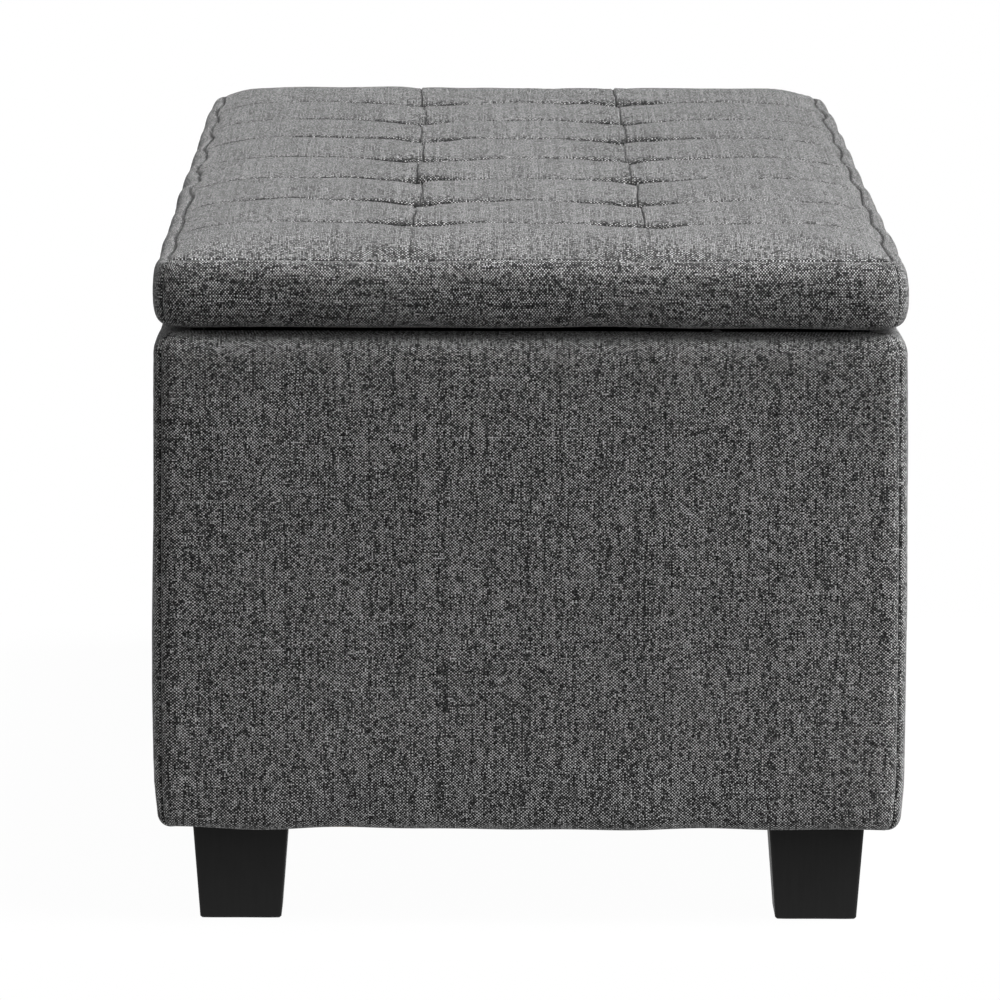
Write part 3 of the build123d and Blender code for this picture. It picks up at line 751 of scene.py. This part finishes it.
def round_corners(x, y):
    """Squeezes the grid's square corners into arcs."""
    u = np.clip((np.abs(x) - (TOP_X - TOP_CORNER_R)) / TOP_CORNER_R, 0, 1)
    v = np.clip((np.abs(y) - (TOP_Y - TOP_CORNER_R)) / TOP_CORNER_R, 0, 1)
    both = (u > 0) & (v > 0)
    new_x = np.sign(x) * (TOP_X - TOP_CORNER_R + TOP_CORNER_R * u * np.sqrt(1 - v * v / 2))
    new_y = np.sign(y) * (TOP_Y - TOP_CORNER_R + TOP_CORNER_R * v * np.sqrt(1 - u * u / 2))
    return np.where(both, new_x, x), np.where(both, new_y, y)


def seam_height(x, y, knots):
    """Height above the border seam that the strips' seams keep."""
    edge = np.minimum(TOP_X - np.abs(x), TOP_Y - np.abs(y))
    height = CROWN * (1 - np.exp(-np.maximum(edge, 0) / CROWN_RUN))
    depth = waves(81, 0.3)
    for kx, ky in knots:
        own = DIP * (1 + 0.22 * float(depth(kx, ky)))
        away = np.sqrt((x - kx) ** 2 + (y - ky) ** 2 + (4 * MM) ** 2)
        height = height - own * np.exp(-away / DIP_RUN)
    return height


def tufted_surface():
    """The top panel's points on the cloth's grid, its strips blown up between their seams."""
    x, y = tuft_layout()
    nx, ny = x.shape
    rows, columns = np.arange(1, ROWS) * CELL_X, np.arange(1, COLUMNS) * CELL_Y
    knots = [(x[i, j], y[i, j]) for i in rows for j in columns]
    i, j = np.meshgrid(np.arange(nx), np.arange(ny), indexing="ij")
    on_border = (i == 0) | (i == nx - 1) | (j == 0) | (j == ny - 1)
    fill = np.sin(np.pi * (i % CELL_X) / CELL_X) * smooth(np.minimum(j, ny - 1 - j) / 6)
    z = SEAM_Z + seam_height(x, y, knots) + START_PUFF * fill
    for side in SIDES:
        (ax, ay), (ox, oy) = SIDES[side]
        edge = {"front": j == 0, "back": j == ny - 1, "right": i == 0, "left": i == nx - 1}[side]
        out, rise = border_wave(side, (x * ax + y * ay)[edge])
        x[edge] += out * ox
        y[edge] += out * oy
        z[edge] = SEAM_Z + rise
    flat = np.stack([x, y, z], -1)
    return inflate(flat, (i % CELL_X == 0) | on_border)


def inflate(points, pinned):
    """Cloth with its seams held: pressure fills the tufts, and loose cloth puckers at the seams."""
    rows, columns = points.shape[:2]
    mesh = bpy.data.meshes.new("tuft_cloth")
    mesh.from_pydata(points.reshape(-1, 3).tolist(), [], grid_faces(rows, columns).tolist())
    cloth = linked("tuft_cloth", mesh)
    scene = bpy.context.scene
    pins = cloth.vertex_groups.new(name="pins")
    pins.add(np.flatnonzero(pinned.ravel()).tolist(), 1.0, "ADD")
    modifier = cloth.modifiers.new("cloth", "CLOTH")
    settings = modifier.settings
    settings.quality = 5
    settings.mass = 0.25
    settings.tension_stiffness = settings.compression_stiffness = 25
    settings.shear_stiffness = 12
    settings.bending_stiffness = 1.5
    settings.air_damping = 3
    settings.vertex_group_mass = "pins"
    settings.use_pressure = True
    settings.uniform_pressure_force = PRESSURE
    settings.shrink_min = -LOOSENESS
    settings.effector_weights.gravity = 0
    modifier.collision_settings.use_collision = False
    modifier.point_cache.frame_start, modifier.point_cache.frame_end = 1, SIM_FRAMES
    for number in range(1, SIM_FRAMES + 1):
        scene.frame_set(number)
    evaluated = cloth.evaluated_get(bpy.context.evaluated_depsgraph_get())
    result = np.empty(rows * columns * 3)
    evaluated.data.vertices.foreach_get("co", result)
    result = result.reshape(points.shape)
    scene.frame_set(1)
    bpy.data.objects.remove(cloth)
    moved = result - points
    distance = np.linalg.norm(moved, axis=-1, keepdims=True)
    return points + moved * np.minimum(1, MOST_MOVE / np.maximum(distance, 1e-9))


def refined(count, step, seams, near):
    """Fractional places on a grid of count steps, with extra lines at offsets near each seam."""
    lines = set()
    for k in range(count + 1):
        if min(abs(k - seam) for seam in seams) * step > near[-1]:
            lines.add(float(k))
    for seam in seams:
        for offset in near:
            lines |= {seam + offset / step, seam - offset / step}
    return np.array(sorted(t for t in lines if 0 <= t <= count))


def resample(values, lines, axis, breaks):
    """Values at fractional places along an axis, on smooth curves that may bend at the breaks."""
    values = np.moveaxis(values, axis, 0)
    result = []
    for low, high in zip(breaks[:-1], breaks[1:]):
        part = values[low : high + 1]
        part = np.concatenate([2 * part[:1] - part[1:2], part, 2 * part[-1:] - part[-2:-1]])
        here = lines[(lines >= low) & ((lines < high) | (high == breaks[-1]))] - low
        index = np.minimum(here.astype(int), high - low - 1)
        t = (here - index).reshape(-1, *[1] * (values.ndim - 1))
        a, b, c, d = (part[index + k] for k in range(4))
        bend = t * (2 * a - 5 * b + 4 * c - d + t * (3 * (b - c) + d - a))
        result.append(b + 0.5 * t * (c - a + bend))
    return np.moveaxis(np.concatenate(result), 0, axis)


def short_seams(x, y, row, inner):
    """(lift, painted shade, distance to the nearest short seam) of the two rows of short seams."""
    lift, dark, nearest = np.zeros_like(x), np.zeros_like(x), np.full_like(x, 1.0)
    faint = np.where(row == 0, 0.5, 1.0)[:, None]
    for seam, jogs, seed in zip(SHORT_SEAMS, JOGS, (31, 33)):
        bow = waves(seed, 90 * MM)(x) * 0.6 * MM
        to_y = y - seam - (np.array(jogs) * MM)[row][:, None] - bow
        nearest = np.minimum(nearest, np.abs(to_y))
        depth = 1.5 + 0.4 * waves(seed + 1, 50 * MM)(x)
        lift -= MM * (0.9 * bell(to_y, 9 * MM) + depth * bell(to_y, 0.75 * MM)) * inner * faint
        one_sided = np.tanh(to_y / (1.5 * MM)) * bell(to_y, 12 * MM) * waves(seed + 2, 260 * MM)(x)
        lift += 0.5 * MM * one_sided * inner
        pucker = ripples(seed + 3, 12 * MM)(x)
        lift += 0.25 * MM * pucker * np.exp(-np.abs(to_y) / (8 * MM)) * inner
        # Painted shade in the short seams' grooves.
        dark = np.maximum(dark, (0.95 + 0.1 * pucker) * bell(to_y, 0.5 * MM) * faint)
    return lift, dark, nearest


def strip_fronts(x, y, to_seam, edge, inner, from_knot):
    """(lift, painted shade) of the seams across the bench. Each strip starts with a steep front,
    high beside the pulled-down corners, and falls slowly behind it. to_seam is positive behind a
    seam."""
    pull = np.exp(-from_knot / PULL_RUN)
    pucker = ripples(37, 11 * MM)(y + 0.2 * x)
    uneven = 1 + 0.2 * waves(38, 45 * MM)(y, x) + 0.2 * waves(40, 110 * MM)(x, y)
    front = (LOW_FRONT + FRONT * pull) * uneven * smooth(edge / (14 * MM))
    behind = np.maximum(to_seam, 0)
    rise = 1 - np.exp(-behind / ((FRONT_RUN + PULLED_RUN * pull) * MM))
    lift = MM * front * rise * np.exp(-behind / FRONT_FADE)
    cut = np.exp(np.minimum(to_seam, 0) / (2.2 * MM)) * bell(behind, 1.2 * MM)
    lift -= 0.25 * MM * cut * inner
    lift += 0.25 * MM * pucker * np.exp(-np.abs(to_seam) / (8 * MM)) * inner
    # Painted shade: dark lines at the seams, and a dark patch just behind each pulled-down corner.
    # The seams are darkest in the column of tufts along the front, as in the photograph.
    side_share = np.where(y < SHORT_SEAMS[0], 0.75, 0.35)
    dark = (0.55 + 0.1 * pucker + 0.4 * waves(39, 60 * MM)(x, y)) * side_share + 0.3 * pull
    dark = dark * bell(to_seam - 0.4 * MM, 0.6 * MM)
    shade = 0.5 * pull * np.exp(-behind / (4.5 * MM)) * (to_seam > 0)
    return lift, np.maximum(dark, shade) * (edge > 2 * MM)


def lid_top():
    """The biscuit-tufted top panel: 24 sewn pieces, creased at their seams."""
    nx, ny = ROWS * CELL_X, COLUMNS * CELL_Y
    step_x, step_y = 2 * TOP_X / nx, 2 * TOP_Y / ny
    close = np.array([0, 0.4, 0.8, 1.2, 1.7, 2.4, 3.4, 4.6]) * MM
    row_seams = np.arange(ROWS + 1) * CELL_X
    lines_x = refined(nx, step_x, row_seams, close)
    lines_y = refined(ny, step_y, (CELL_Y, 2 * CELL_Y), np.arange(0, 5.3, 0.4) * MM)
    extra = np.concatenate([close, ny * step_y - close]) / step_y
    kept = lines_y[(lines_y > 0.8) & (lines_y < ny - 0.8)]
    lines_y = np.unique(np.concatenate([kept, extra]))
    points = resample(tufted_surface(), lines_x, 0, row_seams)
    points = resample(points, lines_y, 1, (0, ny))

    x, y = points[..., 0], points[..., 1]
    to_seam = ((lines_x + CELL_X / 2) % CELL_X - CELL_X / 2)[:, None] * step_x + 0 * y
    to_end_x = np.minimum(lines_x, nx - lines_x) * step_x
    to_end_y = np.minimum(lines_y, ny - lines_y) * step_y
    edge = np.minimum.outer(to_end_x, to_end_y)
    row = np.clip((lines_x / CELL_X).astype(int), 0, ROWS - 1)
    inner = smooth(edge / (3 * MM))
    lift, dark, from_knot = short_seams(x, y, row, inner)
    strip_lift, strip_seam_shade = strip_fronts(x, y, to_seam, edge, inner, from_knot)
    lift += strip_lift + 0.5 * MM * waves(41, 55 * MM)(x, y) * smooth(edge / (20 * MM))
    # Painted shade in the short seams, the seams across the bench and along the border seam.
    dark = np.maximum(dark, strip_seam_shade)
    dark = np.maximum(dark, seam_shade_dashes(43, x, y) * bell(edge, BORDER_SHADE_WIDTH))
    points[..., 2] += lift - BORDER_TUCK * bell(edge, BORDER_TUCK_WIDTH)

    faces = grid_faces(*x.shape)[:, ::-1]
    mid_x = ((lines_x[:-1] + lines_x[1:]) / 2 / CELL_X).astype(int)
    mid_y = ((lines_y[:-1] + lines_y[1:]) / 2 / CELL_Y).astype(int)
    cell = (mid_x[:, None] * COLUMNS + mid_y[None, :]).ravel()
    shift = np.random.default_rng(3).uniform(0, 5, (ROWS * COLUMNS, 2))[cell]
    flat_uv = np.stack([points[..., 1], points[..., 0]], -1).reshape(-1, 2)
    uv = flat_uv[faces] + shift[:, None, :]
    piece = mesh_piece("lid_top_tufted", points.reshape(-1, 3), faces, uv, LINEN, "lid", dark)
    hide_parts("lid_top_cover", "lid_foam", "tufting_twine")


# ---- linings and staples -------------------------------------------------------------------------
POST = 21 * MM           # how far a corner post stands into the store past the lining
STAPLE = (10 * MM, 1.2 * MM, 0.6 * MM)
HEM = 11 * MM


def flat_sheet(name, half_x, half_y, z, down, seed, body, node, notch=0.0):
    """A lining laid flat, with a folded hem along its edges. down is -1 where it faces down."""
    near = np.array([0, 0.7, 1.5, HEM / MM - 1.5, HEM / MM, HEM / MM + 1.5]) * MM
    if notch:
        near = np.append(near, [notch, notch + 0.7 * MM])
    xs, ys = (
        np.unique(np.concatenate([spaced(-half, half, 9 * MM), half - near, near - half]))
        for half in (half_x, half_y)
    )
    x, y = np.meshgrid(xs, ys, indexing="ij")
    edge = np.minimum(half_x - np.abs(x), half_y - np.abs(y))
    inside = smooth(edge / (40 * MM))
    creases = waves(seed, 70 * MM)(x, y) * 0.35 + waves(seed + 1, 230 * MM)(x, y) * 0.5
    folded = 0.45 * smooth((HEM - edge) / (1.5 * MM))
    height = (0.45 + creases * inside * 0.6 + folded) * MM * (0.3 + 0.7 * smooth(edge / (1.2 * MM)))
    points = np.stack([x, y, z + down * height], -1)
    faces = grid_faces(len(xs), len(ys))
    if down < 0:
        faces = faces[:, ::-1]
    if notch:
        centre = np.abs(points.reshape(-1, 3)[faces].mean(1))
        faces = faces[(centre[:, 0] <= half_x - notch) | (centre[:, 1] <= half_y - notch)]
    used, index = np.unique(faces, return_inverse=True)
    faces = index.reshape(-1, 4)
    flat = points.reshape(-1, 3)[used]
    piece = mesh_piece(name, flat, faces, flat[:, :2][faces], NONWOVEN, body)
    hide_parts(node)


def wall_lining():
    """Lining round the inside of the box and its corner posts."""
    out_x, out_y = LINED_X + 0.4 * MM, LINED_Y + 0.4 * MM
    in_x, in_y = LINED_X - POST, LINED_Y - POST
    quarter = [(out_x, -in_y), (out_x, in_y), (in_x, in_y), (in_x, out_y)]
    corners = quarter + [(-x, y) for x, y in quarter[::-1]]
    corners += [(-x, -y) for x, y in quarter] + [(x, -y) for x, y in quarter[::-1]]
    corners = list(dict.fromkeys((round(x, 6), round(y, 6)) for x, y in corners))
    path, total = [], 0.0
    for k, corner in enumerate(corners):
        start, end = np.array(corner), np.array(corners[(k + 1) % len(corners)])
        run = math.dist(start, end)
        inward = np.array([start[1] - end[1], end[0] - start[0]]) / run
        count = max(3, int(run / (12 * MM)))
        for t in np.linspace(0, 1, count + 1)[:-1]:
            here = start + (end - start) * t
            path.append((*here, *inward, total + t * run, min(t, 1 - t) * run))
        total += run
    path.append((*path[0][:4], total, path[0][5]))
    path = np.array(path)
    z = spaced(FLOOR_TOP + 0.5 * MM, LINING_TOP + 1 * MM, 11 * MM)[:, None]
    s, from_corner = path[:, 4][None, :], path[:, 5][None, :]
    loose = (waves(91, 90 * MM)(s, z) + 1) * 0.3 * MM * smooth(from_corner / (15 * MM))
    x, y = (path[:, k] + path[:, k + 2] * loose for k in (0, 1))
    points = np.stack([x, y, z + 0 * s], -1)
    uv = np.stack(np.broadcast_arrays(s, z), -1)
    piece = grid_piece("wall_lining_sheet", points, uv, NONWOVEN, "box")
    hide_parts("wall_lining")


def staples():
    """Staples of the linings, of the covers' turned-in edges and of the covers under the box."""

    def ring(half_x, half_y, z, inset, end_gap, step, inward=False):
        """(centre, along, up) of staples round a rectangle, that face down or inwards."""
        found = []
        for sign in (-1, 1):
            turns = ((1, 0.15 * sign, 0), (0, 0, -1)), ((0.15 * sign, 1, 0), (0, 0, -1))
            if inward:
                turns = ((1, 0, 0.1), (0, -sign, 0)), ((0, 1, 0.1), (-sign, 0, 0))
            for x in spaced(end_gap - half_x, half_x - end_gap, step):
                found.append(((x, sign * (half_y - inset), z), *turns[0]))
            for y in spaced(end_gap - half_y, half_y - end_gap, step):
                found.append(((sign * (half_x - inset), y, z), *turns[1]))
        return found

    inset, step, below = 6 * MM, 48 * MM, 1.15 * MM
    lid_row = ring(LID_LINING_X, LID_LINING_Y, LID_LOW - below, inset, 26 * MM, step)
    box_row = ring(LINED_X, LINED_Y, BOX_LOW - below, inset, 76 * MM, step)
    rim_z = LINING_TOP + 5 * MM
    box_row += ring(LINED_X, LINED_Y, rim_z, 0.25 * MM, 60 * MM, 42 * MM, inward=True)
    bars_piece("lid_staples", lid_row, STAPLE, ZINC, "lid")
    bars_piece("box_staples", box_row, STAPLE, ZINC, "box")


# ---- stage, light and camera ---------------------------------------------------------------------
FLOOR_HALF_X, FLOOR_HALF_Y = 0.72, 0.70
FLOOR_GLOW = 0.975
ROOM_LIGHT = 0.28
# Fitted to the photograph: mm, metres, and pitch down, yaw and roll in degrees.
LENS = 311.7
CAMERA_PLACE = (5.848, -0.039, 0.947)
CAMERA_TURN = (7.425, 0.225, 0.185)


def stage():
    """A nearly black floor that glows: it looks white, but the lamps don't bounce off it."""
    mesh = bpy.data.meshes.new("floor")
    signs = ((-1, -1), (1, -1), (1, 1), (-1, 1))
    corners = [(sx * FLOOR_HALF_X, sy * FLOOR_HALF_Y, 0) for sx, sy in signs]
    mesh.from_pydata(corners, [], [(0, 1, 2, 3)])
    f = Finish("studio_floor", 0.9, Specular_IOR_Level=0.0)
    paper = f.noise(f.place(), 3, 2)
    f.colour(f.ramp(paper, (0.0, grey(0.013)), (1.0, grey(0.015))))
    f.shader.inputs["Emission Color"].default_value = (1, 1, 1, 1)
    f.shader.inputs["Emission Strength"].default_value = FLOOR_GLOW
    mesh.materials.append(f.material)
    linked("floor", mesh)


def lamp(name, kind, place, target, **settings):
    light = bpy.data.lights.new(name, kind)
    for key, value in settings.items():
        setattr(light, key, value)
    holder = linked(name, light)
    holder.location = place
    holder.visible_camera = False
    aim = Vector(target) - Vector(place)
    holder.rotation_euler = aim.to_track_quat("-Z", "Y").to_euler()


def lights():
    """Weak light from a room that looks white, a broad sun from above and the hinge side, a weak
    fill from the front, and a small lamp that lights the edge between the near end and the back."""
    world = bpy.data.worlds.new("studio")
    world.use_nodes = True
    tree = world.node_tree
    room = tree.nodes["Background"]
    backdrop = tree.nodes.new("ShaderNodeBackground")
    for node, strength in ((room, ROOM_LIGHT), (backdrop, 1.0)):
        node.inputs["Color"].default_value = (1, 1, 1, 1)
        node.inputs["Strength"].default_value = strength
    path = tree.nodes.new("ShaderNodeLightPath")
    mix = tree.nodes.new("ShaderNodeMixShader")
    tree.links.new(path.outputs["Is Camera Ray"], mix.inputs[0])
    tree.links.new(room.outputs[0], mix.inputs[1])
    tree.links.new(backdrop.outputs[0], mix.inputs[2])
    tree.links.new(mix.outputs[0], tree.nodes["World Output"].inputs["Surface"])
    bpy.context.scene.world = world
    centre, edge = (0, 0, 0), (0.6, 0.1, 0.25)
    lamp("overhead", "SUN", (0.25, 2.3, 3.6), centre, energy=8.0, angle=math.radians(50))
    lamp("fill", "SUN", (1.8, -2.4, 2.0), centre, energy=0.85, angle=math.radians(60))
    lamp("side", "AREA", (1.0, 1.1, 0.5), edge, shape="RECTANGLE", size=0.6, size_y=0.6, energy=8)


def camera():
    data = bpy.data.cameras.new("camera")
    data.lens = LENS
    data.clip_end = 200
    cam = linked("camera", data)
    pitch, yaw, roll = (math.radians(a) for a in CAMERA_TURN)
    level = math.cos(pitch)
    forward = Vector((-level * math.cos(yaw), level * math.sin(yaw), -math.sin(pitch)))
    right = forward.cross(Vector((0, 0, 1))).normalized()
    up = right.cross(forward)
    turned = right * math.cos(roll) + up * math.sin(roll)
    risen = up * math.cos(roll) - right * math.sin(roll)
    axes = Matrix((turned, risen, -forward)).transposed().to_4x4()
    cam.matrix_world = Matrix.Translation(CAMERA_PLACE) @ axes
    bpy.context.scene.camera = cam


finish_cad_nodes()
for number, name in enumerate(SIDES):
    box_cover(name, 10 + number * 7)
    lid_band(name, 100 + number * 7)
lid_top()
wall_lining()
lined, lid_lined = (LINED_X, LINED_Y), (LID_LINING_X, LID_LINING_Y)
floor_z, dust_z = FLOOR_TOP - 0.9 * MM, BOX_LOW + 0.2 * MM
flat_sheet("floor_lining_sheet", *lined, floor_z, 1, 92, "box", "floor_lining", notch=POST)
flat_sheet("dust_cover_sheet", *lined, dust_z, -1, 94, "box", "dust_cover")
flat_sheet("lid_lining_sheet", *lid_lined, LID_LOW, -1, 96, "lid", "lid_lining")
staples()
stage()
lights()
camera()
bpy.context.scene.view_settings.view_transform = "Standard"
